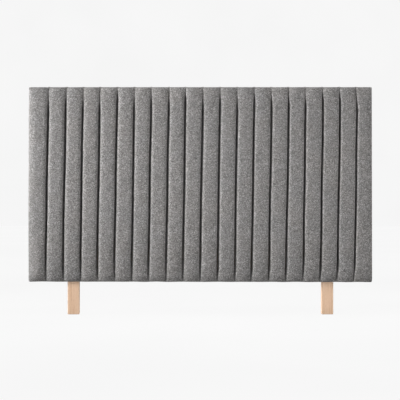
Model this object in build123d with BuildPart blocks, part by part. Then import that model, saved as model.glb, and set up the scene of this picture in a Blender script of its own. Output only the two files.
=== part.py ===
"""Upholstered headboard: a vertically channelled panel on two beech legs.

X runs across the headboard, Y from the bed towards the wall and Z up. The origin lies on the
floor, in the middle of the headboard's width and depth. All lengths are in millimetres.
"""

from build123d import *
import os

# Panel outline
panel_width = 1650
panel_height = 936
floor_clearance = 164
corner_radius = 8

# Channelled cover
channel_count = 20
channel_rise = 39
channel_crown = 3
shoulder_radius = 24
outer_shoulder_radius = 32
end_radius = 22
channel_gap = 5
gap_top_margin = 46
gap_bottom_margin = 16
gap_end_slope = 14
fabric_thickness = 1.2
hem_width = 45
cover_clearance = 0.3

# Front board and timber frame
board_thickness = 5
frame_depth = 34
rail_height = 44
stile_width = 44
upright_width = 70
centre_width = 44

# Mortise and tenon joints at both ends of every vertical frame member
tenon_length = 26
tenon_thickness = 12
tenon_shoulder = 8
tenon_clearance = 0.2

# Back lining
lining_thickness = 0.8
lining_margin = 18
lining_hole_diameter = 12

# Legs
leg_width = 57
leg_thickness = 28
leg_length = 600
leg_inset = 207
leg_edge_radius = 3
foot_chamfer = 2

# Flat-head socket bolts in each leg, between the panel's bottom edge and the leg's top
bolt_count = 2
lowest_bolt_rise = 86
highest_bolt_drop = 90
bolt_diameter = 8
bolt_length = 55
bolt_head_diameter = 17
bolt_head_thickness = 3
socket_width = 5
socket_depth = 2.2
bolt_hole_diameter = 9
counterbore_diameter = 18.5
counterbore_depth = 4

# Tee nuts pressed into the uprights from the front
nut_flange_diameter = 22
nut_flange_thickness = 1.5
nut_barrel_diameter = 10
nut_barrel_length = 13
nut_bore_clearance = 0.05
nut_hole_clearance = 0.15
prong_count = 4
prong_circle_radius = 8
prong_width = 2.4
prong_thickness = 1.2
prong_length = 7
prong_clearance = 0.1

# How far every cut runs past the face that it opens through
overrun = 5

# Planes of the depth stack, from the crown of the channels back to the wall
overall_depth = (
    channel_rise + board_thickness + frame_depth + fabric_thickness + lining_thickness + leg_thickness
)
crown_y = -overall_depth / 2
board_front_y = crown_y + channel_rise
frame_front_y = board_front_y + board_thickness
frame_back_y = frame_front_y + frame_depth
hem_back_y = frame_back_y + fabric_thickness
lining_back_y = hem_back_y + lining_thickness
leg_back_y = lining_back_y + leg_thickness
frame_middle_y = (frame_front_y + frame_back_y) / 2

# Heights and widths that several pieces share
panel_bottom = floor_clearance
panel_top = floor_clearance + panel_height
panel_middle_z = (panel_bottom + panel_top) / 2
channel_pitch = panel_width / channel_count
cover_inset = fabric_thickness + cover_clearance
frame_width = panel_width - 2 * cover_inset
frame_bottom = panel_bottom + cover_inset
frame_top = panel_top - cover_inset
vertical_bottom = frame_bottom + rail_height
vertical_top = frame_top - rail_height
leg_x = panel_width / 2 - leg_inset
lowest_bolt_z = panel_bottom + lowest_bolt_rise
bolt_pitch = (leg_length - highest_bolt_drop - lowest_bolt_z) / (bolt_count - 1)
bolt_heights = [lowest_bolt_z + i * bolt_pitch for i in range(bolt_count)]

os.makedirs("parts", exist_ok=True)


def channel_centre(number):
    """X of the middle of a channel, counted from 0 at the left."""
    return (number + 0.5) * channel_pitch - panel_width / 2


def write(piece, name):
    piece.part.label = name
    export_step(piece.part, f"parts/{name}.step")


def channel_outline(number, inset):
    """Section of one channel seen from above: a crowned front between rounded shoulders.

    inset shrinks it all round, so that the fabric's outer face, its inner face and the foam
    share one shape.
    """
    first = number == 0
    last = number == channel_count - 1
    half = channel_pitch / 2 - inset
    centre = channel_centre(number)
    left = centre - half + (0 if first else channel_gap / 2)
    right = centre + half - (0 if last else channel_gap / 2)
    front = crown_y + inset
    shoulder = front + channel_crown
    left_radius = (outer_shoulder_radius if first else shoulder_radius) - inset
    right_radius = (outer_shoulder_radius if last else shoulder_radius) - inset
    with BuildSketch(mode=Mode.PRIVATE) as outline:
        with BuildLine():
            crown = ThreePointArc((left, shoulder), ((left + right) / 2, front), (right, shoulder))
            Polyline(crown @ 1, (right, board_front_y), (left, board_front_y), crown @ 0)
        make_face()
        for side, radius in ((0, left_radius), (-1, right_radius)):
            front_corner = outline.vertices().group_by(Axis.X)[side].sort_by(Axis.Y)[0]
            fillet(front_corner, radius)
    return outline.sketch


def front_outline(inset):
    """The panel's rounded rectangle seen from the front."""
    with BuildSketch(Plane.XZ, mode=Mode.PRIVATE) as outline:
        with Locations((0, panel_middle_z)):
            RectangleRounded(
                panel_width - 2 * inset, panel_height - 2 * inset, corner_radius - inset
            )
    return outline.sketch


def side_outline(inset):
    """The panel seen from the side, its top and bottom front edges rounded, drawn left of the panel."""
    front = crown_y + inset
    back = hem_back_y - inset
    with BuildSketch(Plane.YZ.offset(-panel_width / 2 - overrun), mode=Mode.PRIVATE) as outline:
        with Locations(((front + back) / 2, panel_middle_z)):
            Rectangle(back - front, panel_height - 2 * inset)
        front_corners = outline.vertices().group_by(Axis.X)[0]
        fillet(front_corners, end_radius - inset)
    return outline.sketch


def trim_to_panel(inset):
    """Cuts the part in hand down to the panel's side and front outlines."""
    extrude(side_outline(inset), amount=panel_width + 2 * overrun, mode=Mode.INTERSECT)
    extrude(front_outline(inset), amount=overall_depth, both=True, mode=Mode.INTERSECT)


def padded_block(inset):
    """The whole upholstered block, its front in channels with valleys between them."""
    valley_y = crown_y + channel_crown + shoulder_radius + inset
    back_y = hem_back_y - inset
    with BuildPart() as block:
        with BuildSketch(Plane.XY.offset(panel_bottom + inset)):
            for number in range(channel_count):
                add(channel_outline(number, inset))
            with Locations((0, (valley_y + board_front_y) / 2)):
                Rectangle(panel_width - channel_pitch, board_front_y - valley_y)
            with Locations((0, (board_front_y + back_y) / 2)):
                Rectangle(panel_width - 2 * inset, back_y - board_front_y)
        extrude(amount=panel_height - 2 * inset)
        trim_to_panel(inset)
    return block.part


def gap_cutters(growth):
    """The deep slots between the channels. They stop short of the panel's top and bottom edges.

    growth widens them by the fabric that lines them.
    """
    low = panel_bottom + gap_bottom_margin - growth
    high = panel_top - gap_top_margin + growth
    front = crown_y - overrun
    floor = board_front_y - fabric_thickness + growth
    with BuildPart() as cutters:
        for seam in range(1, channel_count):
            seam_x = seam * channel_pitch - panel_width / 2
            with BuildSketch(Plane.YZ.offset(seam_x)):
                with BuildLine():
                    Polyline(
                        (front, low),
                        (floor, low + gap_end_slope),
                        (floor, high - gap_end_slope),
                        (front, high),
                        close=True,
                    )
                make_face()
            extrude(amount=channel_gap / 2 + growth, both=True)
    return cutters.part


outer_block = padded_block(0)
inner_block = padded_block(fabric_thickness)
outer_slots = gap_cutters(0)
inner_slots = gap_cutters(fabric_thickness)

# Inside of the cover: the room for foam, board and frame, less the fabric that lines the slots
with BuildPart() as cavity:
    add(inner_block)
    add(inner_slots, mode=Mode.SUBTRACT)

# Fabric cover: sewn channels in front, turned round the edges to a hem on the frame's back
with BuildPart() as cover:
    add(outer_block)
    add(outer_slots, mode=Mode.SUBTRACT)
    add(cavity.part, mode=Mode.SUBTRACT)
    with BuildSketch(Plane.XZ.offset(-hem_back_y - overrun)):
        with Locations((0, panel_middle_z)):
            Rectangle(panel_width - 2 * hem_width, panel_height - 2 * hem_width)
    extrude(amount=overrun + fabric_thickness + overrun, mode=Mode.SUBTRACT)
write(cover, "cover")

# Foam strips, one in each channel, glued to the front board
for number in range(channel_count):
    with BuildPart() as foam:
        with BuildSketch(Plane.XY.offset(panel_bottom + cover_inset)):
            add(channel_outline(number, cover_inset))
        extrude(amount=panel_height - 2 * cover_inset)
        trim_to_panel(cover_inset)
    write(foam, f"foam_strip_{number + 1:02d}")

# Front board: the plywood sheet that carries the foam
with BuildPart() as front_board:
    with BuildSketch(Plane.XZ.offset(-board_front_y)):
        add(front_outline(cover_inset))
    extrude(amount=-board_thickness)
write(front_board, "front_board")


stile_x = frame_width / 2 - stile_width / 2
verticals = {
    "frame_left_stile": (-stile_x, stile_width),
    "frame_left_upright": (-leg_x, upright_width),
    "frame_centre_upright": (0, centre_width),
    "frame_right_upright": (leg_x, upright_width),
    "frame_right_stile": (stile_x, stile_width),
}
vertical_length = vertical_top - vertical_bottom
mortise_thickness = tenon_thickness + 2 * tenon_clearance
mortise_reach = vertical_length + 2 * (tenon_length + tenon_clearance)

# Top and bottom rails, mortised for the vertical members
for name, low in (("frame_bottom_rail", frame_bottom), ("frame_top_rail", vertical_top)):
    with BuildPart() as rail:
        with Locations((0, frame_middle_y, low + rail_height / 2)):
            Box(frame_width, frame_depth, rail_height)
        outer_edge = Axis.Z if name == "frame_top_rail" else -Axis.Z
        corners = rail.edges().filter_by(Axis.Y).group_by(outer_edge)[-1]
        fillet(corners, corner_radius - cover_inset)
        for member_x, member_width in verticals.values():
            mortise_width = member_width - 2 * (tenon_shoulder - tenon_clearance)
            with Locations((member_x, frame_middle_y, panel_middle_z)):
                Box(mortise_width, mortise_thickness, mortise_reach, mode=Mode.SUBTRACT)
    write(rail, name)

# Stiles and uprights with their tenons. The two that carry the legs are bored for bolts and tee nuts
for name, (member_x, member_width) in verticals.items():
    with BuildPart() as member:
        with Locations((member_x, frame_middle_y, panel_middle_z)):
            Box(member_width, frame_depth, vertical_length)
            Box(member_width - 2 * tenon_shoulder, tenon_thickness, vertical_length + 2 * tenon_length)
        if abs(member_x) == leg_x:
            with BuildSketch(Plane.XZ.offset(-frame_front_y)):
                with Locations(*[(member_x, z) for z in bolt_heights]):
                    Circle(nut_barrel_diameter / 2 + nut_hole_clearance)
            extrude(amount=-frame_depth, mode=Mode.SUBTRACT)
            with BuildSketch(Plane.XZ.offset(-frame_front_y)):
                with Locations(*[(member_x, z) for z in bolt_heights]):
                    Circle(nut_flange_diameter / 2 + nut_hole_clearance)
            extrude(amount=-nut_flange_thickness, mode=Mode.SUBTRACT)
            with BuildSketch(Plane.XZ.offset(-frame_front_y)):
                with Locations(*[(member_x, z) for z in bolt_heights]):
                    with PolarLocations(prong_circle_radius, prong_count):
                        Rectangle(prong_thickness + 2 * prong_clearance, prong_width + 2 * prong_clearance)
            extrude(amount=-(nut_flange_thickness + prong_length + prong_clearance), mode=Mode.SUBTRACT)
    write(member, name)

# Back lining: non-woven cloth stapled over the hem
with BuildPart() as lining:
    with BuildSketch(Plane.XZ.offset(-lining_back_y)):
        with Locations((0, panel_middle_z)):
            Rectangle(panel_width - 2 * lining_margin, panel_height - 2 * lining_margin)
        with Locations(*[(x, z) for x in (-leg_x, leg_x) for z in bolt_heights]):
            Circle(lining_hole_diameter / 2, mode=Mode.SUBTRACT)
    extrude(amount=lining_thickness)
write(lining, "back_lining")

for side, x in (("left", -leg_x), ("right", leg_x)):
    places = [(x, z) for z in bolt_heights]

    # Leg: a flat beech post with eased edges, bored and counterbored from the back
    with BuildPart() as leg:
        with Locations((x, (lining_back_y + leg_back_y) / 2, leg_length / 2)):
            Box(leg_width, leg_thickness, leg_length)
        fillet(leg.edges().filter_by(Axis.Z), leg_edge_radius)
        chamfer(leg.faces().sort_by(Axis.Z)[0].edges(), foot_chamfer)
        with BuildSketch(Plane.XZ.offset(-leg_back_y)):
            with Locations(*places):
                Circle(bolt_hole_diameter / 2)
        extrude(amount=leg_thickness, mode=Mode.SUBTRACT)
        with BuildSketch(Plane.XZ.offset(-leg_back_y)):
            with Locations(*places):
                Circle(counterbore_diameter / 2)
        extrude(amount=counterbore_depth, mode=Mode.SUBTRACT)
    write(leg, f"leg_{side}")

    # Bolts: the head sits on the counterbore's floor and the shank reaches into the tee nut
    head_y = leg_back_y - counterbore_depth
    with BuildPart() as bolts:
        with BuildSketch(Plane.XZ.offset(-head_y)):
            with Locations(*places):
                Circle(bolt_diameter / 2)
        extrude(amount=bolt_length)
        with BuildSketch(Plane.XZ.offset(-head_y)):
            with Locations(*places):
                Circle(bolt_head_diameter / 2)
        extrude(amount=-bolt_head_thickness)
        with BuildSketch(Plane.XZ.offset(-head_y - bolt_head_thickness)):
            with Locations(*places):
                RegularPolygon(socket_width / 2, 6, major_radius=False)
        extrude(amount=socket_depth, mode=Mode.SUBTRACT)
    write(bolts, f"leg_bolts_{side}")

    # Tee nuts: a flange let into the upright's front, a barrel and four prongs
    with BuildPart() as nuts:
        with BuildSketch(Plane.XZ.offset(-frame_front_y)):
            with Locations(*places):
                Circle(nut_flange_diameter / 2)
        extrude(amount=-nut_flange_thickness)
        with BuildSketch(Plane.XZ.offset(-frame_front_y)):
            with Locations(*places):
                Circle(nut_barrel_diameter / 2)
        extrude(amount=-nut_barrel_length)
        with BuildSketch(Plane.XZ.offset(-frame_front_y)):
            with Locations(*places):
                with PolarLocations(prong_circle_radius, prong_count):
                    Rectangle(prong_thickness, prong_width)
        extrude(amount=-(nut_flange_thickness + prong_length))
        with BuildSketch(Plane.XZ.offset(-frame_front_y)):
            with Locations(*places):
                Circle(bolt_diameter / 2 + nut_bore_clearance)
        extrude(amount=-nut_barrel_length, mode=Mode.SUBTRACT)
    write(nuts, f"tee_nuts_{side}")
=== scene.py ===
# %% [markdown]
# # A channelled headboard on beech legs
#
# The real thing is a padded panel, 165 cm wide, that stands behind a bed on two legs. From the front
# only the legs' lower ends show. The grey cloth is sewn into twenty upright channels, each filled
# with a strip of foam. Only the cloth, the lining and the staples are modelled here. Board, battens,
# legs and bolts come from the construction model with their sizes settled, and only get finishes.

# %% Load the construction model
import math

import bpy
import numpy as np
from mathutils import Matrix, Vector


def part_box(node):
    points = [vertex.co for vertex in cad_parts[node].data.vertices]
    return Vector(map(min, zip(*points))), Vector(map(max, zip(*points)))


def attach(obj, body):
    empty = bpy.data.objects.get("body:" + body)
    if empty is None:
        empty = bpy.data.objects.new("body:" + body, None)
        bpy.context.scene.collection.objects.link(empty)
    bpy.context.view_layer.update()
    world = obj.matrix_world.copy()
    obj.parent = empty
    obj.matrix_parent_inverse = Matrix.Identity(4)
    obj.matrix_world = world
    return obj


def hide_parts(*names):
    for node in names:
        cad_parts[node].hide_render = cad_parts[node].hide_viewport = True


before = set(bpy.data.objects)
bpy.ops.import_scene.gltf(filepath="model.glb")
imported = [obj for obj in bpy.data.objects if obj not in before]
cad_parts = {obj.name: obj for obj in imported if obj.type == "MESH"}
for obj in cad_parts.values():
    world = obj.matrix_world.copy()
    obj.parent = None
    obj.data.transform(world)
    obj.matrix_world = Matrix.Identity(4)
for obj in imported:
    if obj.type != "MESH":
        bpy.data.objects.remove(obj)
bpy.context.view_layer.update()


# %% [markdown]
# ## Small helpers
#
# Colours are written the way a picture editor shows them, as hex values. Shaders want linear light,
# so one function converts them. Materials are node trees, and one function adds a node with its
# settings and its links, which keeps each recipe short enough to read. A colour ramp, which turns
# a factor into colour, also gets its stops there.

# %% Colour and node helpers
def linear(hex_colour):
    """Linear RGBA of a colour written as it looks on a screen."""
    screen = [int(hex_colour[i:i + 2], 16) / 255 for i in (1, 3, 5)]
    return [c / 12.92 if c < 0.04045 else ((c + 0.055) / 1.055) ** 2.4 for c in screen] + [1.0]


def add_node(tree, kind, inputs, stops=(), **settings):
    """Adds a node. inputs gives each socket a value, or another node's output to link.

    stops are for a colour ramp, each with its position and hex colour.
    """
    node = tree.nodes.new(kind)
    for name, value in settings.items():
        setattr(node, name, value)
    if stops:
        ramp = node.color_ramp.elements
        while len(ramp) < len(stops):
            ramp.new(0.5)
        for stop, (position, hex_colour) in zip(ramp, stops):
            stop.position = position
            stop.color = linear(hex_colour)
    for socket, value in inputs.items():
        if isinstance(value, bpy.types.NodeSocket):
            tree.links.new(value, node.inputs[socket])
        else:
            node.inputs[socket].default_value = value
    return node


def new_material(name):
    """An empty material and its tree, with the shader that every finish here uses."""
    material = bpy.data.materials.new(name)
    material.use_nodes = True
    tree = material.node_tree
    tree.nodes.clear()
    shader = add_node(tree, "ShaderNodeBsdfPrincipled", {})
    add_node(tree, "ShaderNodeOutputMaterial", {"Surface": shader.outputs["BSDF"]})
    place = add_node(tree, "ShaderNodeTexCoord", {}).outputs["Object"]
    return material, tree, shader, place


print("Linear value of middle grey:", round(linear("#808080")[0], 3))


# %% [markdown]
# ## The camera
#
# A product photograph like this one is taken square on, from about five metres away with a short
# telephoto lens, at half the headboard's height. That is why neither the top nor the underside of
# the panel shows, and why the sides look parallel. The lens follows from the distance and the
# width of wall that the square picture takes in.

# %% Camera
SENSOR_WIDTH = 36.0
CAMERA_DISTANCE = 5.0
PICTURE_WIDTH = 1.9155
CAMERA_HEIGHT = 0.5565
CAMERA_SHIFT = -0.0021

front_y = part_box("cover")[0].y
camera_data = bpy.data.cameras.new("camera")
camera_data.sensor_width = SENSOR_WIDTH
camera_data.lens = SENSOR_WIDTH * CAMERA_DISTANCE / PICTURE_WIDTH
camera = bpy.data.objects.new("camera", camera_data)
camera.location = (CAMERA_SHIFT, front_y - CAMERA_DISTANCE, CAMERA_HEIGHT)
camera.rotation_euler = (math.radians(90), 0, 0)
bpy.context.scene.collection.objects.link(camera)
bpy.context.scene.camera = camera
print("Lens in mm:", round(camera_data.lens, 1))


# %% [markdown]
# ## Channelled cloth
#
# A channelled cover is sewn flat, then pulled over its foam strips. At each seam the cloth dives
# straight down to the board, and between two seams it bulges over the foam with a flat crown and
# tight shoulders. At the top and bottom edges the tension across the edge lifts the seams out of
# their grooves, so the grooves run out there. None of that is a box with a bevel, so the cloth is
# laid out as one grid: columns follow the seams, rows run up the panel, and a few formulas say how
# far each point lies behind the crown. All lengths are in metres.

# %% Where the cloth goes
CHANNELS = 20
HEM_WIDTH = 0.045

cover_low, cover_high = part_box("cover")
panel_left, panel_right = cover_low.x, cover_high.x
panel_bottom, panel_top = cover_low.z, cover_high.z
crown_y, hem_y = cover_low.y, cover_high.y
panel_height = panel_top - panel_bottom
pitch = (panel_right - panel_left) / CHANNELS
chance = np.random.default_rng(7)
print("Channel pitch in mm:", round(pitch * 1000, 1))


# %% [markdown]
# ## Seams that a hand has sewn
#
# No two seams of a real cover are quite alike. Here all of them lean to the right towards the top,
# each by its own amount, and each groove takes its own length to reach its full depth. The values
# give what is usual and how much it differs. The draws are seeded, so that every run of this script
# makes the same headboard.

# %% Lean and wander of each seam
# A seam stands this far to the right of an even division at the top, from the left of the panel to
# its right, and this far at the bottom, where less than 0 is to the left. Each seam differs from
# that by up to the spread. The panel's own left and right sides are moved in the same way.
SEAM_TOP = (0.0137, 0.0105)
SEAM_TOP_SPREAD = 0.0020
SEAM_BOTTOM = -0.0029
SEAM_BOTTOM_SPREAD = 0.0015
SIDE_TOP = (0.0, -0.0022)
SIDE_BOTTOM = (-0.0036, -0.0002)
SEAM_DRIFT = 0.0007

drift_turns = chance.uniform(0.8, 2.2, CHANNELS + 1)
drift_start = chance.uniform(0, 2 * math.pi, CHANNELS + 1)
sewing = np.random.default_rng(3)
seam_top = np.linspace(*SEAM_TOP, CHANNELS + 1) + SEAM_TOP_SPREAD * sewing.uniform(-1, 1, CHANNELS + 1)
seam_bottom = SEAM_BOTTOM + SEAM_BOTTOM_SPREAD * sewing.uniform(-1, 1, CHANNELS + 1)
seam_top[[0, -1]] = SIDE_TOP
seam_bottom[[0, -1]] = SIDE_BOTTOM
print("Lean of the seams in mm:", np.round((seam_top - seam_bottom) * 1000, 1))


# %% Where each groove runs out
# Shortest and longest way over which a groove grows to its full depth. At the top it only starts
# after a share of that way, and grows slowly at first.
TOP_RUNOUT = (0.070, 0.145)
TOP_RUNOUT_START = 0.12
TOP_RUNOUT_POWER = 1.5
BOTTOM_RUNOUT = (0.075, 0.140)

top_runout = sewing.uniform(*TOP_RUNOUT, CHANNELS + 1)
bottom_runout = sewing.uniform(*BOTTOM_RUNOUT, CHANNELS + 1)


def smooth_step(value, low, high):
    """0 below low, 1 above high, with an even curve between them."""
    share = np.clip((value - low) / (high - low), 0, 1)
    return share * share * (3 - 2 * share)


def groove_share(seam, z):
    """1 where a seam lies at the bottom of its groove, 0 where it comes up at the panel's edges."""
    longest = top_runout[seam]
    at_top = smooth_step(panel_top - z, TOP_RUNOUT_START * longest, longest) ** TOP_RUNOUT_POWER
    return at_top * smooth_step(z - panel_bottom, 0, bottom_runout[seam])


print("Run-out at the top in mm:", np.round(top_runout * 1000))


# %% The path of each seam
SEAM_STEP = 0.0045


def seam_x(seam, z):
    """Where a seam lies. Each leans to the right towards the top, and wanders as sewing does.

    Seen from in front, a seam that comes up out of its groove would step away from the panel's
    middle, and the photograph shows straight lines, so it is brought in a little there.
    """
    share = np.clip((z - panel_bottom) / panel_height, 0, 1)
    lean = seam_bottom[seam] + (seam_top[seam] - seam_bottom[seam]) * share
    wander = SEAM_DRIFT * np.sin(2 * math.pi * drift_turns[seam] * share + drift_start[seam])
    inner = (seam > 0) & (seam < CHANNELS)
    x = panel_left + seam * pitch + lean + inner * wander
    return x - inner * SEAM_STEP * x * (1 - groove_share(seam, z))


middle_seam = seam_x(CHANNELS // 2, np.array([panel_bottom, panel_top]))
print("Middle seam, x in mm at the panel's bottom and top:", np.round(middle_seam * 1000, 1))


# %% [markdown]
# ## Columns and rows
#
# The cloth bends hardest beside a seam, at its rolled edges and where the grooves run out, so
# columns and rows lie close together there and far apart on the flat crowns. That keeps the mesh
# small without losing any curve.

# %% Lay out columns and rows
# How far the columns of half a channel lie from its seam, here in mm
COLUMN_SPACING = [0, 0.8, 1.5, 2.2, 2.9, 3.6, 4.8, 6.4, 8.4, 10.9, 14.0, 17.8, 22.5, 28.0, 34.5]
HALF_CHANNEL = np.array(COLUMN_SPACING) / 1000
SIDE_ROLL = 0.009
SIDE_COLUMNS = 6
SIDE_COLUMN_STEP = 0.0042
SMALLEST_COLUMN = 0.002
TOP_ROLL = 0.020
BOTTOM_ROLL = 0.036
ROLL_ANGLES = np.radians(np.linspace(0, 90, 11))
ROW_STEP = 0.0085
RUNOUT_ROW_STEP = 0.004
RUNOUT_ZONE = 0.140

full_channel = np.concatenate([HALF_CHANNEL, [pitch / 2], pitch - HALF_CHANNEL[::-1]])
beside_roll = SIDE_ROLL + np.arange(1, SIDE_COLUMNS + 1) * SIDE_COLUMN_STEP
side_offsets = np.append(SIDE_ROLL * (1 - np.cos(ROLL_ANGLES)), beside_roll)
after_side = full_channel[full_channel > side_offsets[-1] + SMALLEST_COLUMN]
first_channel = np.concatenate([side_offsets, after_side])
last_channel = pitch - first_channel[::-1]


def column_list():
    """Every column as its channel, and its offset from that channel's left seam as laid out flat."""
    columns = []
    for channel in range(CHANNELS):
        offsets = full_channel
        if channel == 0:
            offsets = first_channel
        if channel == CHANNELS - 1:
            offsets = last_channel
        first = 0 if channel == 0 else 1
        columns += [(channel, offset) for offset in offsets[first:]]
    return np.array(columns)


def row_list():
    """Height of every row, and how far it is turned over the panel's top or bottom edge."""
    ends = []
    for roll in (BOTTOM_ROLL, TOP_ROLL):
        zone = np.arange(roll + RUNOUT_ROW_STEP, RUNOUT_ZONE - RUNOUT_ROW_STEP / 2, RUNOUT_ROW_STEP)
        heights = np.concatenate([roll * (1 - np.sin(ROLL_ANGLES[::-1])), zone])
        ends.append((heights, np.concatenate([ROLL_ANGLES[::-1], np.zeros(len(zone))])))
    (bottom, bottom_angle), (top, top_angle) = ends
    middle_rows = int((panel_height - 2 * RUNOUT_ZONE) / ROW_STEP)
    middle = np.linspace(RUNOUT_ZONE, panel_height - RUNOUT_ZONE, middle_rows)
    heights = np.concatenate([bottom, middle, panel_height - top[::-1]])
    angles = np.concatenate([-bottom_angle, np.zeros(middle_rows), top_angle[::-1]])
    return heights + panel_bottom, angles


columns = column_list()
row_z, row_angle = row_list()
print("Columns and rows of cloth:", len(columns), len(row_z))


# %% Place every point as seen from the front
channel = columns[:, 0].astype(int)[None, :]
share = (columns[:, 1] / pitch)[None, :]
z = row_z[:, None]
turned = row_angle[:, None]
left_seam = seam_x(channel, z)
right_seam = seam_x(channel + 1, z)
x = left_seam + (right_seam - left_seam) * share
from_left = x - left_seam
from_right = right_seam - x
distance = np.minimum(from_left, from_right)
from_bottom = z - panel_bottom
nearest = np.where(share < 0.5, channel, channel + 1)
outer = (nearest == 0) | (nearest == CHANNELS)
print("Front of the cloth, points:", x.size)


# %% [markdown]
# ## From groove to crown
#
# Across one channel the cloth is a slot, a rounded shoulder and a nearly flat crown. In the
# photograph the left shoulder of a channel is wider than its right one, and both get tighter
# towards the right of the panel. Near the top and bottom the slot closes to a soft valley, and the
# crown grows rounder.

# %% The groove beside a seam
SHOULDER_POWER = 3.2
SHOULDER_DEPTH = 0.023
SEAM_DEPTH = 0.0365
EDGE_VALLEY = 0.0022
NARROWEST = 0.25
WALL_POWER = 0.7


def shoulder(distance, width):
    """Rounded shoulder of a channel: 1 beside the seam, 0 level with the crown after its width."""
    share = np.clip(1 - distance / width, 0, 1)
    return 1 - np.sqrt(np.clip(1 - share ** SHOULDER_POWER, 0, 1))


def groove_depth(distance, width, gap, runout):
    """Depth of the cloth at a distance from its seam. runout goes from 0 at the panel's edge to 1.

    Where it is 0 the cloth only dips into a soft valley. As it grows, the valley gets its slot,
    first narrow and shallow, then as wide and deep as the gap between two foam strips.
    """
    half_gap = gap / 2 * (NARROWEST + (1 - NARROWEST) * runout)
    wall = smooth_step(half_gap - distance, 0, half_gap) ** WALL_POWER
    side = shoulder(np.maximum(distance - half_gap, 0), width)
    side_depth = EDGE_VALLEY + (SHOULDER_DEPTH - EDGE_VALLEY) * runout
    wall_depth = (SEAM_DEPTH - SHOULDER_DEPTH) * runout
    return side * side_depth + wall * wall_depth


print("Deepest groove in mm:", round(SEAM_DEPTH * 1000, 1))


# %% Grooves and crowns of the whole panel
# Three values stand for the left, the middle and the right of the panel
LEFT_SHOULDER = (0.028, 0.025, 0.014)
RIGHT_SHOULDER = (0.0185, 0.016, 0.0135)
GAP = (0.0043, 0.0036, 0.0033)
GAP_LOSS = 0.30
GAP_LOSS_START = 0.05
GAP_LOSS_HEIGHT = 0.24
CROWN = 0.0018
TOP_DOME = 0.0055
TOP_DOME_HEIGHT = 0.110
BOTTOM_DOME = 0.0075
BOTTOM_DOME_START = 0.03
BOTTOM_DOME_HEIGHT = 0.240
SIDE_BULGE = 0.4
LAST_BULGE = 0.3

fullness = chance.uniform(0.85, 1.25, CHANNELS)
across = [panel_left, 0, panel_right]
left_width = np.interp(x, across, LEFT_SHOULDER)
right_width = np.interp(x, across, RIGHT_SHOULDER)
width = np.where(share < 0.5, left_width, right_width)
gap_loss = GAP_LOSS * (1 - smooth_step(from_bottom, GAP_LOSS_START, GAP_LOSS_HEIGHT))
gap = np.interp(x, across, GAP) * (1 - gap_loss)
groove = np.where(outer, 0, groove_depth(distance, width, gap, groove_share(nearest, z)))
top_dome = TOP_DOME * (1 - smooth_step(panel_top - z, 0, TOP_DOME_HEIGHT))
bottom_dome = BOTTOM_DOME * (1 - smooth_step(from_bottom, BOTTOM_DOME_START, BOTTOM_DOME_HEIGHT))
bulge = (2 * share - 1) ** 2 * (CROWN / fullness[channel] + top_dome + bottom_dome)
bulge = bulge * np.where(channel == CHANNELS - 1, LAST_BULGE, 1)
scallop = groove + bulge * np.where(outer, SIDE_BULGE, 1)
print("Deepest point of the scallops in mm:", round(scallop.max() * 1000, 1))


# %% [markdown]
# ## Edges that roll away
#
# At its four edges the cloth rolls over the foam to the sides. The first channel also slopes away
# to the left, more so near the floor, while the last one stays flat almost to its edge. Top and
# bottom have a long soft slope before their roll.

# %% Roll the cloth away at the edges
LEFT_SLOPE_DEPTH = 0.0125
RIGHT_SLOPE_DEPTH = 0.0045
SIDE_SLOPE_WIDTH = 0.042
LOW_LEFT_REACH = 0.7
LOW_LEFT_HEIGHT = 0.36
ROLL_DEPTH = 0.021
TOP_SLOPE_HEIGHT = 0.100
TOP_SLOPE_DEPTH = 0.007
BOTTOM_SLOPE_HEIGHT = 0.100
BOTTOM_SLOPE_DEPTH = 0.010
EDGE_POWER = 2.5

from_side = np.where(channel == 0, from_left, np.where(channel == CHANNELS - 1, from_right, pitch))
low_left = (channel == 0) * (1 - smooth_step(from_bottom, 0, LOW_LEFT_HEIGHT))
reach = 1 + LOW_LEFT_REACH * low_left
slope_depth = reach * np.where(channel == 0, LEFT_SLOPE_DEPTH, RIGHT_SLOPE_DEPTH)
slope = slope_depth * np.clip(1 - from_side / (SIDE_SLOPE_WIDTH * reach), 0, 1) ** 2
into_roll = np.clip(SIDE_ROLL - distance, 0, None)
rolled = SIDE_ROLL - np.sqrt(np.clip(SIDE_ROLL ** 2 - into_roll ** 2, 0, None))
side_depth = slope + np.where(outer, rolled, 0)

near_bottom = np.clip(1 - from_bottom / BOTTOM_SLOPE_HEIGHT, 0, 1)
near_top = np.clip(1 - (panel_top - z) / TOP_SLOPE_HEIGHT, 0, 1)
end_depth = ROLL_DEPTH * (1 - np.cos(turned))
end_depth = end_depth + BOTTOM_SLOPE_DEPTH * near_bottom ** 2
end_depth = end_depth + TOP_SLOPE_DEPTH * near_top ** 2
edge = (side_depth ** EDGE_POWER + end_depth ** EDGE_POWER) ** (1 / EDGE_POWER)
y = crown_y + edge + scallop * np.cos(turned)
print("Deepest point of the rolled edges in mm:", round(edge.max() * 1000, 1))


# %% Bumps along the top, sag along the bottom
# The gathered seams push small bumps up over the top edge, and the lower edge sags and waves a
# little, more so on the right
EDGE_BUMP = 0.0014
EDGE_BUMP_WIDTH = 0.006
BOTTOM_DROP = 0.0018
BOTTOM_LEAN = 0.0024
BOTTOM_WAVE = 0.0004

wave_lengths = chance.uniform(0.075, 0.22, 5)
wave_starts = chance.uniform(0, 2 * math.pi, 5)
waves = [np.sin(2 * math.pi * x / length + start) for length, start in zip(wave_lengths, wave_starts)]
z = z - scallop * np.sin(turned) * np.cos(turned)
bump = EDGE_BUMP * np.exp(-(distance / EDGE_BUMP_WIDTH) ** 2) * np.sin(turned) ** 3
z = z + np.where(outer | (turned < 0), 0, bump)
sag = BOTTOM_DROP + BOTTOM_LEAN * x / (panel_right - panel_left) + BOTTOM_WAVE * sum(waves) / 2
z = z - sag * near_bottom
print("Largest sag in mm:", round(sag.max() * 1000, 1))


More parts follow.
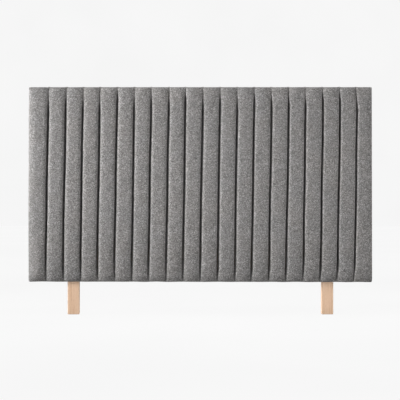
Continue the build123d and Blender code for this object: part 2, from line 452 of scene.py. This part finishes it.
# %% Round the four corners, and gather the points
CORNER_RADIUS = 0.003

panel_middle = (panel_top + panel_bottom) / 2
past_side = np.abs(x) - (panel_right - CORNER_RADIUS)
past_end = np.abs(z - panel_middle) - (panel_height / 2 - CORNER_RADIUS)
reach_x = np.clip(past_side / CORNER_RADIUS, 0, 1)
reach_z = np.clip(past_end / CORNER_RADIUS, 0, 1)
x = x - np.sign(x) * CORNER_RADIUS * reach_x * (1 - np.sqrt(1 - reach_z ** 2 / 2))
z = z - np.sign(z - panel_middle) * CORNER_RADIUS * reach_z * (1 - np.sqrt(1 - reach_x ** 2 / 2))
cloth_front = np.stack(np.broadcast_arrays(x, y, z), axis=-1)
print("Front of the cloth, rows, columns, axes:", cloth_front.shape)


# %% [markdown]
# ## Simulating the pull of the cloth
#
# Sewn cloth is never as even as a formula. A short cloth simulation with a little air pressure
# behind the channels lets the cloth find its own slack places where the grooves run out. Seams and
# edges are pinned, as thread and staples hold them, and the movement is capped so that the cloth
# keeps its size. Only the uneven part of it is used, because the formulas already give the even
# part. The full grid has about four times as many points as are needed for that, so a grid with
# every second column and row is simulated, and its movement is spread over the points between.

# %% Mesh helpers
def grid_faces(rows, count):
    """Quads of a grid of points, numbered row by row, facing -Y."""
    index = np.arange(rows * count).reshape(rows, count)
    quads = [index[:-1, :-1], index[:-1, 1:], index[1:, 1:], index[1:, :-1]]
    return np.stack([q.ravel() for q in quads], axis=1)


def mesh_object(name, points, faces):
    """A new object from an array of points and a list of faces, shaded smooth."""
    mesh = bpy.data.meshes.new(name)
    mesh.from_pydata(points.tolist(), [], [list(map(int, face)) for face in faces])
    mesh.validate()
    mesh.shade_smooth()
    thing = bpy.data.objects.new(name, mesh)
    bpy.context.scene.collection.objects.link(thing)
    return thing


# %% Simulate the cloth
SIMULATION_FRAMES = 20
PRESSURE = 4.0
SLACK = -0.015
LARGEST_MOVE = 0.0011
FREE_FROM_SEAM = 0.012
FREE_FROM_END = 0.050
HELD_ROWS = 4


def simulate_cloth(thing, pinned):
    """Runs the cloth for its frames and gives the movement of every point, none above the cap."""
    before = np.array([vertex.co[:] for vertex in thing.data.vertices])
    group = thing.vertex_groups.new(name="pinned")
    group.add([int(number) for number in pinned], 1.0, "REPLACE")
    modifier = thing.modifiers.new("pull", "CLOTH")
    modifier.settings.use_pressure = True
    modifier.settings.uniform_pressure_force = PRESSURE
    modifier.settings.vertex_group_mass = "pinned"
    modifier.settings.shrink_min = SLACK
    modifier.settings.quality = 3
    modifier.settings.tension_stiffness = 30
    modifier.settings.compression_stiffness = 30
    modifier.settings.bending_stiffness = 1.0
    modifier.settings.effector_weights.gravity = 0
    modifier.collision_settings.use_collision = False
    modifier.point_cache.frame_start = 1
    modifier.point_cache.frame_end = SIMULATION_FRAMES
    for number in range(1, SIMULATION_FRAMES + 1):
        bpy.context.scene.frame_set(number)
    shaped = thing.evaluated_get(bpy.context.evaluated_depsgraph_get())
    move = np.array([vertex.co[:] for vertex in shaped.data.vertices]) - before
    bpy.context.scene.frame_set(1)
    bpy.data.objects.remove(thing)
    length = np.linalg.norm(move, axis=1, keepdims=True)
    print("Largest and mean move in mm:", np.round([length.max() * 1000, length.mean() * 1000], 2))
    return move * LARGEST_MOVE / np.maximum(length, LARGEST_MOVE)


def spread(values, kept, total):
    """Fills in the values between the kept numbers along the first axis, in straight lines."""
    number = np.arange(total)
    after = np.searchsorted(kept, number).clip(1, len(kept) - 1)
    share = (number - kept[after - 1]) / (kept[after] - kept[after - 1])
    share = share.reshape(-1, *[1] * (values.ndim - 1))
    return values[after - 1] * (1 - share) + values[after] * share


rows, count = len(row_z), len(columns)
to_seam = np.minimum(columns[:, 1], pitch - columns[:, 1])
kept_offsets = np.round(np.concatenate([HALF_CHANNEL[::2], [pitch / 2], side_offsets[::2]]), 4)
kept_columns = np.flatnonzero(np.isin(np.round(to_seam, 4), kept_offsets))
kept_rows = np.unique(np.append(np.arange(0, rows, 2), rows - 1))
coarse = cloth_front[kept_rows][:, kept_columns]
coarse_index = np.arange(coarse.shape[0] * coarse.shape[1]).reshape(coarse.shape[:2])
held = np.zeros(coarse.shape[:2], dtype=bool)
held[:, to_seam[kept_columns] < FREE_FROM_SEAM / 2] = True
held[:HELD_ROWS] = held[-HELD_ROWS:] = True
print("Coarse cloth, points:", coarse_index.size)
coarse_cloth = mesh_object("coarse_cloth", coarse.reshape(-1, 3), grid_faces(*coarse.shape[:2]))
moves = simulate_cloth(coarse_cloth, coarse_index[held]).reshape(coarse.shape)
moves = spread(moves, kept_rows, rows)
moves = spread(moves.swapaxes(0, 1), kept_columns, count).swapaxes(0, 1)
to_end = np.minimum(row_z - panel_bottom, panel_top - row_z)
free = smooth_step(to_end, 0.2 * FREE_FROM_END, FREE_FROM_END)[:, None]
free = free * smooth_step(to_seam, FREE_FROM_SEAM / 2, 1.5 * FREE_FROM_SEAM)[None, :]
uneven = moves - moves.mean(axis=0, keepdims=True)
cloth_front = cloth_front + uneven * free[:, :, None]


# %% [markdown]
# The cloth goes on round the sides, over the back edge and in by a hem of 45 mm, where it is
# stapled to the battens. Seen as a loop, it is the edge of the front grid, pushed back ring by ring
# and then drawn in towards the middle of the back.

# %% Turn the cloth round the sides to its hem
SIDE_RINGS = 7
BACK_BEND = 0.0025
BEND_RINGS = 3
HEM_RINGS = 5
SETTLED_SHARE = 0.7


def edge_loop(rows, count):
    """Numbers of the grid's outermost points, once round, seen from the front anticlockwise."""
    index = np.arange(rows * count).reshape(rows, count)
    return np.concatenate([index[0, :-1], index[:-1, -1], index[-1, :0:-1], index[:0:-1, 0]])


def rings_behind(loop_points):
    """Rings of points from the cloth's front edge back to the hem's inner edge."""
    centre = np.array([0, (panel_top + panel_bottom) / 2])
    flat = loop_points[:, [0, 2]] - centre
    half = np.array([panel_right, panel_height / 2])
    straight = np.clip(np.abs(flat) / half, 0, 1).max(axis=1)[:, None]
    full = flat / straight
    rings = []
    back = hem_y - BACK_BEND
    for ring in range(1, SIDE_RINGS + 1):
        share = ring / SIDE_RINGS
        settle = smooth_step(share, 0.0, SETTLED_SHARE)
        y = loop_points[:, 1] + (back - loop_points[:, 1]) * share
        place = centre + flat + (full - flat) * settle
        rings.append(np.column_stack([place[:, 0], y, place[:, 1]]))
    for ring in range(1, BEND_RINGS + 1):
        angle = math.radians(90) * ring / BEND_RINGS
        inward = 1 - BACK_BEND * (1 - math.cos(angle)) / half
        y = np.full(len(full), back + BACK_BEND * math.sin(angle))
        place = centre + full * inward
        rings.append(np.column_stack([place[:, 0], y, place[:, 1]]))
    for ring in range(1, HEM_RINGS + 1):
        inward = 1 - (BACK_BEND + (HEM_WIDTH - BACK_BEND) * ring / HEM_RINGS) / half
        place = centre + full * inward
        rings.append(np.column_stack([place[:, 0], np.full(len(full), hem_y), place[:, 1]]))
    return rings


loop = edge_loop(rows, count)
cloth_points = cloth_front.reshape(-1, 3)
rings = rings_behind(cloth_points[loop])
faces = [grid_faces(rows, count)]
previous = loop
start = len(cloth_points)
for ring in range(len(rings)):
    current = start + ring * len(loop) + np.arange(len(loop))
    quads = [np.roll(previous, -1), previous, current, np.roll(current, -1)]
    faces.append(np.stack(quads, axis=1))
    previous = current
cloth = mesh_object("channelled_cover", np.vstack([cloth_points] + rings), np.vstack(faces))
print("Cloth faces:", len(cloth.data.polygons))


# %% [markdown]
# Real cloth has two faces. The grid is the outer one, and Blender's solidify modifier adds the inner
# one behind it. The modifier is applied at once, so that the mesh itself is a closed body.

# %% Give the cloth its thickness
FABRIC = 0.0012


def apply_modifiers(thing):
    """Replaces an object's mesh by its mesh with all modifiers applied."""
    shaped = thing.evaluated_get(bpy.context.evaluated_depsgraph_get())
    mesh = bpy.data.meshes.new_from_object(shaped)
    thing.modifiers.clear()
    thing.data = mesh


thickness = cloth.modifiers.new("thickness", "SOLIDIFY")
thickness.thickness = FABRIC
thickness.offset = -1
apply_modifiers(cloth)
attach(cloth, "root")
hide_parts("cover", *[f"foam_strip_{number:02d}" for number in range(1, CHANNELS + 1)])
print("Cloth with thickness, faces:", len(cloth.data.polygons))


# %% [markdown]
# ## Melange upholstery cloth
#
# The cloth is a plain weave whose yarns are spun from light and dark fibres, so its grey is made of
# small flecks. The real flecks are 1 to 2 mm wide, a third of a pixel in this picture, so they are
# drawn 3.5 mm wide to show at all, and the uneven yarn 3 mm wide for the same reason. The threads
# and the clouds of tone are drawn at their real size. Woven yarn has no gloss, only the faint sheen
# of its fibre ends.

# %% Cloth material
FLECK = 0.0035
SLUB = 0.0030
THREAD_PAIR = 0.0024
CLOUD = 0.09


def woven_height(tree, place, period):
    """Height of a plain weave, as the product of two waves across each other."""
    waves = []
    for direction in ((1.0, 1.0, 0.0), (0.0, 0.0, 1.0)):
        step = [2 * math.pi / period * part for part in direction]
        along = add_node(tree, "ShaderNodeVectorMath", {0: place, 1: step}, operation="DOT_PRODUCT")
        waves.append(add_node(tree, "ShaderNodeMath", {0: along.outputs["Value"]}, operation="SINE"))
    crossed = {0: waves[0].outputs[0], 1: waves[1].outputs[0]}
    return add_node(tree, "ShaderNodeMath", crossed, operation="MULTIPLY")


cloth_material, tree, shader, place = new_material("melange_cloth")
fleck = add_node(tree, "ShaderNodeTexVoronoi", {"Vector": place, "Scale": 1 / FLECK})
slub = add_node(tree, "ShaderNodeTexNoise", {
    "Vector": place, "Scale": 1 / SLUB, "Detail": 3.0, "Roughness": 0.75,
})
fibres = add_node(tree, "ShaderNodeMix", {
    0: 0.45, 2: fleck.outputs["Color"], 3: slub.outputs["Fac"],
}, data_type="FLOAT")
cloud = add_node(tree, "ShaderNodeTexNoise", {
    "Vector": place, "Scale": 1 / CLOUD, "Detail": 2.0, "Roughness": 0.5,
})
grey = add_node(tree, "ShaderNodeValToRGB", {"Fac": fibres.outputs[0]}, stops=[
    (0.18, "#4c4b4b"), (0.36, "#747371"), (0.50, "#878685"), (0.64, "#9d9c9b"), (0.84, "#d2d0cf"),
])
tone = add_node(tree, "ShaderNodeValToRGB", {"Fac": cloud.outputs["Fac"]}, stops=[
    (0.30, "#f4f3f4"), (0.50, "#f6f4f4"), (0.72, "#f7f4f3"),
])
coloured = add_node(tree, "ShaderNodeMix", {
    0: 1.0, 6: grey.outputs["Color"], 7: tone.outputs["Color"],
}, data_type="RGBA", blend_type="MULTIPLY")
weave = woven_height(tree, place, THREAD_PAIR)
height = add_node(tree, "ShaderNodeMath", {
    0: weave.outputs[0], 1: 0.12, 2: slub.outputs["Fac"],
}, operation="MULTIPLY_ADD")
bump = add_node(tree, "ShaderNodeBump", {
    "Height": height.outputs[0], "Strength": 0.35, "Distance": 0.0012,
})
tree.links.new(coloured.outputs[2], shader.inputs["Base Color"])
tree.links.new(bump.outputs["Normal"], shader.inputs["Normal"])
shader.inputs["Roughness"].default_value = 0.9
shader.inputs["IOR"].default_value = 1.45
shader.inputs["Specular IOR Level"].default_value = 0.15
shader.inputs["Sheen Weight"].default_value = 0.1
shader.inputs["Sheen Roughness"].default_value = 0.5
cloth.data.materials.clear()
cloth.data.materials.append(cloth_material)
print("Material:", cloth_material.name)


# %% [markdown]
# ## Beech legs
#
# The legs are light beech with a clear matt lacquer. Beech is even and pinkish, with fine straight
# grain along the post and short darker flecks. Noise that is stretched along the post gives the
# grain, and a second, finer noise gives the flecks. The pine battens and the plywood board behind
# the foam follow the same recipe in their own colours, with the grain along each piece.

# %% Wood materials
GRAIN_WIDTH = 0.009
GRAIN_LENGTH = 0.35
FLECK_WIDTH = 0.0012
FLECK_LENGTH = 0.018


def wood_material(name, along, light, middle, dark, roughness):
    """A wood whose grain runs along one axis, given by its number."""
    material, tree, shader, place = new_material(name)
    grain_scale = [1 / GRAIN_WIDTH] * 3
    grain_scale[along] = 1 / GRAIN_LENGTH
    fleck_scale = [1 / FLECK_WIDTH] * 3
    fleck_scale[along] = 1 / FLECK_LENGTH
    grain_place = add_node(tree, "ShaderNodeMapping", {"Vector": place, "Scale": grain_scale}).outputs[0]
    fleck_place = add_node(tree, "ShaderNodeMapping", {"Vector": place, "Scale": fleck_scale}).outputs[0]
    grain = add_node(tree, "ShaderNodeTexNoise", {
        "Vector": grain_place, "Scale": 1.0, "Detail": 4.0, "Roughness": 0.6, "Distortion": 0.6,
    })
    flecks = add_node(tree, "ShaderNodeTexNoise", {"Vector": fleck_place, "Scale": 1.0, "Detail": 1.0})
    bands = add_node(tree, "ShaderNodeValToRGB", {"Fac": grain.outputs["Fac"]}, stops=[
        (0.30, dark), (0.48, middle), (0.68, light),
    ])
    short = add_node(tree, "ShaderNodeValToRGB", {"Fac": flecks.outputs["Fac"]}, stops=[
        (0.26, "#d9c4b0"), (0.40, "#ffffff"),
    ])
    coloured = add_node(tree, "ShaderNodeMix", {
        0: 0.6, 6: bands.outputs["Color"], 7: short.outputs["Color"],
    }, data_type="RGBA", blend_type="MULTIPLY")
    bump = add_node(tree, "ShaderNodeBump", {
        "Height": flecks.outputs["Fac"], "Strength": 0.15, "Distance": 0.0003,
    })
    tree.links.new(coloured.outputs[2], shader.inputs["Base Color"])
    tree.links.new(bump.outputs["Normal"], shader.inputs["Normal"])
    shader.inputs["Roughness"].default_value = roughness
    shader.inputs["IOR"].default_value = 1.5
    return material


def finish(material, *names):
    """Gives nodes of the construction model this one material in place of their own."""
    for name in names:
        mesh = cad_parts[name].data
        mesh.materials.clear()
        mesh.materials.append(material)


X_AXIS, Z_AXIS = 0, 2
PINE = ("#e3c796", "#d6b37c", "#b98d55")

beech = wood_material("lacquered_beech", Z_AXIS, "#f9d6b9", "#f3ceaf", "#e6bb96", 0.5)
finish(beech, "leg_left", "leg_right")
pine_upright = wood_material("pine_upright", Z_AXIS, *PINE, 0.7)
pine_rail = wood_material("pine_rail", X_AXIS, *PINE, 0.7)
finish(pine_rail, "frame_top_rail", "frame_bottom_rail")
finish(
    pine_upright, "frame_left_stile", "frame_left_upright", "frame_centre_upright",
    "frame_right_upright", "frame_right_stile",
)
plywood = wood_material("birch_plywood", X_AXIS, "#dcc09a", "#cfae83", "#b9956a", 0.75)
finish(plywood, "front_board")
print("Wood finishes:", beech.name, pine_upright.name, plywood.name)


# %% [markdown]
# ## Zinc-plated fittings
#
# Bolts and tee nuts are steel with a thin bright zinc coat, cloudy rather than polished. The metal
# keeps the default IOR, and uneven roughness gives the cloudy look.

# %% Zinc material
ZINC_CLOUD = 0.004

zinc, tree, shader, place = new_material("zinc_plated_steel")
cloudy = add_node(tree, "ShaderNodeTexNoise", {"Vector": place, "Scale": 1 / ZINC_CLOUD, "Detail": 3.0})
zinc_colour = add_node(tree, "ShaderNodeValToRGB", {"Fac": cloudy.outputs["Fac"]}, stops=[
    (0.3, "#a9adb2"), (0.7, "#cdd1d6"),
])
zinc_rough = add_node(tree, "ShaderNodeMapRange", {0: cloudy.outputs["Fac"], 3: 0.28, 4: 0.45})
tree.links.new(zinc_colour.outputs["Color"], shader.inputs["Base Color"])
tree.links.new(zinc_rough.outputs[0], shader.inputs["Roughness"])
shader.inputs["Metallic"].default_value = 1.0
finish(zinc, "leg_bolts_left", "leg_bolts_right", "tee_nuts_left", "tee_nuts_right")
print("Material:", zinc.name)


# %% [markdown]
# ## The back lining
#
# A thin black non-woven cloth closes the back. It is stapled all round over the hem, so it is
# stretched flat, bears down on the hem and puckers a little between its staples.

# %% Lining
LINING_COLUMNS = 280
LINING_ROWS = 160
LINING_SKIN = 0.0003
LINING_THICKNESS = 0.0004
LINING_MARGIN = 0.018
LINING_SAG = 0.0007
SAG_REACH = 0.02
PUCKER = 0.0014
PUCKER_REACH = 0.012
LEG_REACH = (0.006, 0.030)
STAPLE_PITCH = 0.046

lining_low, lining_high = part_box("back_lining")
share_x, share_z = np.meshgrid(np.linspace(0, 1, LINING_COLUMNS), np.linspace(0, 1, LINING_ROWS))
lining_x = lining_low.x + (lining_high.x - lining_low.x) * share_x
lining_z = lining_low.z + (lining_high.z - lining_low.z) * share_z
to_side = np.minimum(lining_x - lining_low.x, lining_high.x - lining_x)
to_end = np.minimum(lining_z - lining_low.z, lining_high.z - lining_z)
to_edge = np.minimum(to_side, to_end)
along_edge = np.where(to_side < to_end, lining_z, lining_x)
between_staples = 0.5 - 0.5 * np.cos(2 * math.pi * along_edge / STAPLE_PITCH)
lift = PUCKER * np.exp(-to_edge / PUCKER_REACH) * between_staples
for name in ("leg_left", "leg_right"):
    leg_low, leg_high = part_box(name)
    beside = np.maximum(leg_low.x - lining_x, lining_x - leg_high.x)
    lift = lift * smooth_step(np.maximum(beside, lining_z - leg_high.z), *LEG_REACH)
lining_sag = LINING_SAG * smooth_step(to_edge, HEM_WIDTH - LINING_MARGIN, HEM_WIDTH + SAG_REACH)
lining_y = lining_high.y - LINING_SKIN + lift - lining_sag
lining_points = np.stack([lining_x, lining_y, lining_z], axis=-1).reshape(-1, 3)
lining_faces = grid_faces(LINING_ROWS, LINING_COLUMNS)[:, ::-1]
lining = mesh_object("back_lining_cloth", lining_points, lining_faces)
thickness = lining.modifiers.new("thickness", "SOLIDIFY")
thickness.thickness = LINING_THICKNESS
thickness.offset = -1
apply_modifiers(lining)
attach(lining, "root")
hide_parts("back_lining")
print("Lining faces:", len(lining.data.polygons))


# %% [markdown]
# Non-woven cloth is made of plastic fibres laid at random and pressed together by a heated roller,
# whose points leave an even field of dots 2.2 mm apart. The clumps of fibre give the black its
# uneven tone.

# %% Lining material
SPECKLE = 0.0022
FIBRE_CLUMP = 0.006

lining_material, tree, shader, place = new_material("non_woven_lining")
fibres = add_node(tree, "ShaderNodeTexNoise", {
    "Vector": place, "Scale": 1 / FIBRE_CLUMP, "Detail": 5.0, "Roughness": 0.7,
})
dots = add_node(tree, "ShaderNodeTexVoronoi", {
    "Vector": place, "Scale": 1 / SPECKLE, "Randomness": 0.25,
})
black = add_node(tree, "ShaderNodeValToRGB", {"Fac": fibres.outputs["Fac"]}, stops=[
    (0.30, "#222226"), (0.50, "#313136"), (0.70, "#4a4a51"),
])
bump = add_node(tree, "ShaderNodeBump", {
    "Height": dots.outputs["Distance"], "Strength": 0.5, "Distance": 0.0004,
})
tree.links.new(black.outputs["Color"], shader.inputs["Base Color"])
tree.links.new(bump.outputs["Normal"], shader.inputs["Normal"])
shader.inputs["Roughness"].default_value = 0.8
lining.data.materials.clear()
lining.data.materials.append(lining_material)
print("Material:", lining_material.name)


# %% [markdown]
# ## Staples
#
# Upholstery staples have a flat crown about 10 mm wide. They sit 8 mm inside the lining's edge,
# one about every 46 mm, each turned a little because they are shot by hand. None is placed where a
# leg lies over the lining.

# %% Staples
STAPLE_CROWN = 0.0105
STAPLE_WIRE = 0.0012
STAPLE_INSET = 0.008
STAPLE_RISE = 0.0005
STAPLE_SHOULDER = 0.0002
STAPLE_BEND = 0.0004
STAPLE_TURN = 0.12
STAPLE_CORNERS = 6
FIRST_ACROSS = 0.02
FIRST_UP = 0.03


def staple_points(centre_x, centre_z, turn):
    """A bridge of flat wire: six corners on each side, with the ends bent down into the cloth."""
    half, wire = STAPLE_CROWN / 2, STAPLE_WIRE / 2
    low, high = lining_high.y - LINING_SKIN, lining_high.y + STAPLE_RISE
    outline = [(-half, low), (-half, high - STAPLE_SHOULDER), (-half + STAPLE_BEND, high)]
    outline += [(half - STAPLE_BEND, high), (half, high - STAPLE_SHOULDER), (half, low)]
    points = []
    for side in (-wire, wire):
        for along, y in outline:
            x = centre_x + along * math.cos(turn) - side * math.sin(turn)
            z = centre_z + along * math.sin(turn) + side * math.cos(turn)
            points.append((x, y, z))
    return points


def staple_places():
    """Centres and turns of all staples, along the lining's four edges."""
    places = []
    low_x, high_x = lining_low.x + STAPLE_INSET, lining_high.x - STAPLE_INSET
    low_z, high_z = lining_low.z + STAPLE_INSET, lining_high.z - STAPLE_INSET
    for x in np.arange(low_x + FIRST_ACROSS, high_x, STAPLE_PITCH):
        places += [(x, low_z, 0.0), (x, high_z, 0.0)]
    for z in np.arange(low_z + FIRST_UP, high_z, STAPLE_PITCH):
        places += [(low_x, z, math.pi / 2), (high_x, z, math.pi / 2)]
    return places


def covered_by_leg(x, z):
    """Whether a leg lies over this place of the lining."""
    for name in ("leg_left", "leg_right"):
        low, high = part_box(name)
        if low.x - STAPLE_CROWN < x < high.x + STAPLE_CROWN and z < high.z + STAPLE_CROWN:
            return True
    return False


points, faces = [], []
for x, z, turn in staple_places():
    if covered_by_leg(x, z):
        continue
    start = len(points)
    points += staple_points(x, z, turn + chance.uniform(-STAPLE_TURN, STAPLE_TURN))
    front_side = [start + corner for corner in range(STAPLE_CORNERS)]
    back_side = [number + STAPLE_CORNERS for number in front_side]
    for corner in range(STAPLE_CORNERS):
        after = (corner + 1) % STAPLE_CORNERS
        faces.append([front_side[corner], front_side[after], back_side[after], back_side[corner]])
    faces.append(front_side[::-1])
    faces.append(back_side)
staples = mesh_object("lining_staples", np.array(points), faces)
staples.data.shade_flat()
staples.data.materials.append(zinc)
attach(staples, "root")
print("Staples:", len(points) // (2 * STAPLE_CORNERS))


# %% [markdown]
# ## Studio
#
# The floor and the wall of a product studio are one pale sweep. Here they are a round floor and a
# dome that meets it 18 m out, in nearly the same paint, so that the object can be seen from any side.
# Real pale paper would throw light up at the panel, which the photograph doesn't show, so only the
# camera sees them, and the light comes from the lamps and the air around.

# %% Floor and backdrop
FLOOR_RADIUS = 16.0
DOME_RADIUS = 18.0
DOME_RISE = (-3, 88)
RING_STEPS = 96
DOME_RINGS = 24


def studio_paint(name, albedo, glow):
    """Pale paint that is mostly lit evenly, as a sweep with its own lamps is."""
    material, tree, shader, place = new_material(name)
    paper = add_node(tree, "ShaderNodeTexNoise", {"Vector": place, "Scale": 0.8, "Detail": 2.0})
    pale = add_node(tree, "ShaderNodeValToRGB", {"Fac": paper.outputs["Fac"]}, stops=[
        (0.3, "#f5f5f5"), (0.7, "#f7f7f7"),
    ])
    shade = add_node(tree, "ShaderNodeMix", {
        0: 1.0, 6: pale.outputs["Color"], 7: [albedo] * 3 + [1.0],
    }, data_type="RGBA", blend_type="MULTIPLY")
    tree.links.new(shade.outputs[2], shader.inputs["Base Color"])
    tree.links.new(pale.outputs["Color"], shader.inputs["Emission Color"])
    shader.inputs["Emission Strength"].default_value = glow
    shader.inputs["Roughness"].default_value = 1.0
    shader.inputs["Specular IOR Level"].default_value = 0.0
    return material


def ring_points(radius, height):
    """Points of one level ring about the origin."""
    turns = np.linspace(0, 2 * math.pi, RING_STEPS, endpoint=False)
    return [(radius * math.cos(turn), radius * math.sin(turn), height) for turn in turns]


def ring_faces(ring_count):
    """Quads between rings of points."""
    faces = []
    for ring in range(ring_count - 1):
        for step in range(RING_STEPS):
            after = (step + 1) % RING_STEPS
            low, high = ring * RING_STEPS, (ring + 1) * RING_STEPS
            faces.append([low + step, high + step, high + after, low + after])
    return faces


floor_rings = [0.02, 0.5, 1.5, 4.0, 9.0, FLOOR_RADIUS, DOME_RADIUS]
floor_points = [point for radius in floor_rings for point in ring_points(radius, 0.0)]
floor_faces = ring_faces(len(floor_rings)) + [list(range(RING_STEPS))]
floor = mesh_object("studio_floor", np.array(floor_points), floor_faces)
dome_points = []
for rise in np.radians(np.linspace(*DOME_RISE, DOME_RINGS)):
    dome_points += ring_points(DOME_RADIUS * math.cos(rise), DOME_RADIUS * math.sin(rise))
dome = mesh_object("studio_dome", np.array(dome_points), ring_faces(DOME_RINGS))
floor.data.materials.append(studio_paint("floor_paint", albedo=0.06, glow=0.985))
dome.data.materials.append(studio_paint("wall_paint", albedo=0.0, glow=1.0))
for backdrop in (floor, dome):
    backdrop.visible_diffuse = False
    backdrop.visible_glossy = False
    backdrop.visible_shadow = False
print("Studio faces:", len(floor.data.polygons) + len(dome.data.polygons))


# %% [markdown]
# ## Lights
#
# The main lamps stand far out on the left, so their light rakes over the channels and picks out
# the left shoulder of each. The higher of the two gives the top a little more. One on the right
# keeps the right shoulders from going dark, a weak one overhead lights the rolled top edge, and the
# pale air of the studio does the rest. No strong lamp stands straight in front, where it would shine
# into the grooves, so they stay dark. Two thin strip lamps near the floor light the legs, which the
# panel would shade. The long one serves both, and the short one adds a little for the right leg.

# %% Lights
PANEL_MIDDLE = (0, -0.05, 0.62)


def turn_towards(thing, target):
    """Turns a lamp so that it shines at a point."""
    look = np.array(target) - np.array(thing.location)
    tilt = math.atan2(look[2], math.hypot(look[0], look[1]))
    thing.rotation_euler = (math.pi / 2 + tilt, 0, math.atan2(look[1], look[0]) - math.pi / 2)


def soft_lamp(name, azimuth, elevation, distance, radius, beam, aim_height, power):
    """A round soft lamp, placed by its direction from the panel's middle. Left is negative."""
    turn, rise = math.radians(azimuth), math.radians(elevation)
    lamp = bpy.data.lights.new(name, "SPOT")
    lamp.spot_size = math.radians(beam)
    lamp.spot_blend = 1.0
    lamp.shadow_soft_size = radius
    lamp.energy = power
    thing = bpy.data.objects.new(name, lamp)
    level = math.cos(rise)
    direction = np.array([math.sin(turn) * level, -math.cos(turn) * level, math.sin(rise)])
    thing.location = np.array(PANEL_MIDDLE) + distance * direction
    turn_towards(thing, (PANEL_MIDDLE[0], PANEL_MIDDLE[1], aim_height))
    bpy.context.scene.collection.objects.link(thing)


soft_lamp(
    "left_lamp", azimuth=-73, elevation=3, distance=5.8, radius=0.45, beam=27.6,
    aim_height=0.62, power=1550,
)
soft_lamp(
    "high_left_lamp", azimuth=-76, elevation=8, distance=5.8, radius=0.45, beam=21.2,
    aim_height=1.00, power=980,
)
soft_lamp(
    "right_lamp", azimuth=76, elevation=5, distance=5.0, radius=1.0, beam=32,
    aim_height=0.57, power=700,
)
soft_lamp(
    "top_lamp", azimuth=0, elevation=80, distance=3.0, radius=0.4, beam=60,
    aim_height=0.60, power=62,
)


# %% Strip lamps
STRIP_Y = -0.9
STRIP_Z = 0.03
STRIP_HEIGHT = 0.02
AIM_BELOW_PANEL = 0.012

leg_low, leg_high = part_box("leg_right")


def strip_lamp(name, x, width, spread, aim_height, power):
    """A low strip light near the floor in front, which shines at the legs."""
    strip = bpy.data.lights.new(name, "AREA")
    strip.shape = "RECTANGLE"
    strip.size, strip.size_y = width, STRIP_HEIGHT
    strip.spread = math.radians(spread)
    strip.energy = power
    thing = bpy.data.objects.new(name, strip)
    thing.location = (x, STRIP_Y, STRIP_Z)
    thing.visible_camera = False
    turn_towards(thing, (x, leg_low.y, aim_height))
    bpy.context.scene.collection.objects.link(thing)


strip_lamp(
    "long_strip_lamp", x=0, width=1.5, spread=5, aim_height=panel_bottom - AIM_BELOW_PANEL,
    power=0.046,
)
right_leg_x = (leg_low.x + leg_high.x) / 2
strip_lamp(
    "right_strip_lamp", x=right_leg_x, width=0.25, spread=9, aim_height=panel_bottom / 2,
    power=0.0045,
)
print("Strip lamps stand in front of the panel, in mm:", round((crown_y - STRIP_Y) * 1000))


# %% [markdown]
# ## The air of the studio
#
# White walls and a white ceiling send light from everywhere, and nearly twice as much from above as
# from below. The world's background does that here. Its strength changes over a soft band about the
# horizon.

# %% World
AIR_BELOW = 0.25
AIR_ABOVE = 0.455
HORIZON_BLEND = 0.15

world = bpy.data.worlds.new("studio_air")
world.use_nodes = True
air = world.node_tree
direction = add_node(air, "ShaderNodeTexCoord", {}).outputs["Generated"]
height = add_node(air, "ShaderNodeSeparateXYZ", {0: direction}).outputs["Z"]
strength = add_node(air, "ShaderNodeMapRange", {
    0: height, 1: -HORIZON_BLEND, 2: HORIZON_BLEND, 3: AIR_BELOW, 4: AIR_ABOVE,
})
air.nodes["Background"].inputs["Color"].default_value = linear("#ffffff")
air.links.new(strength.outputs[0], air.nodes["Background"].inputs["Strength"])
bpy.context.scene.world = world
bpy.context.scene.view_settings.view_transform = "Standard"
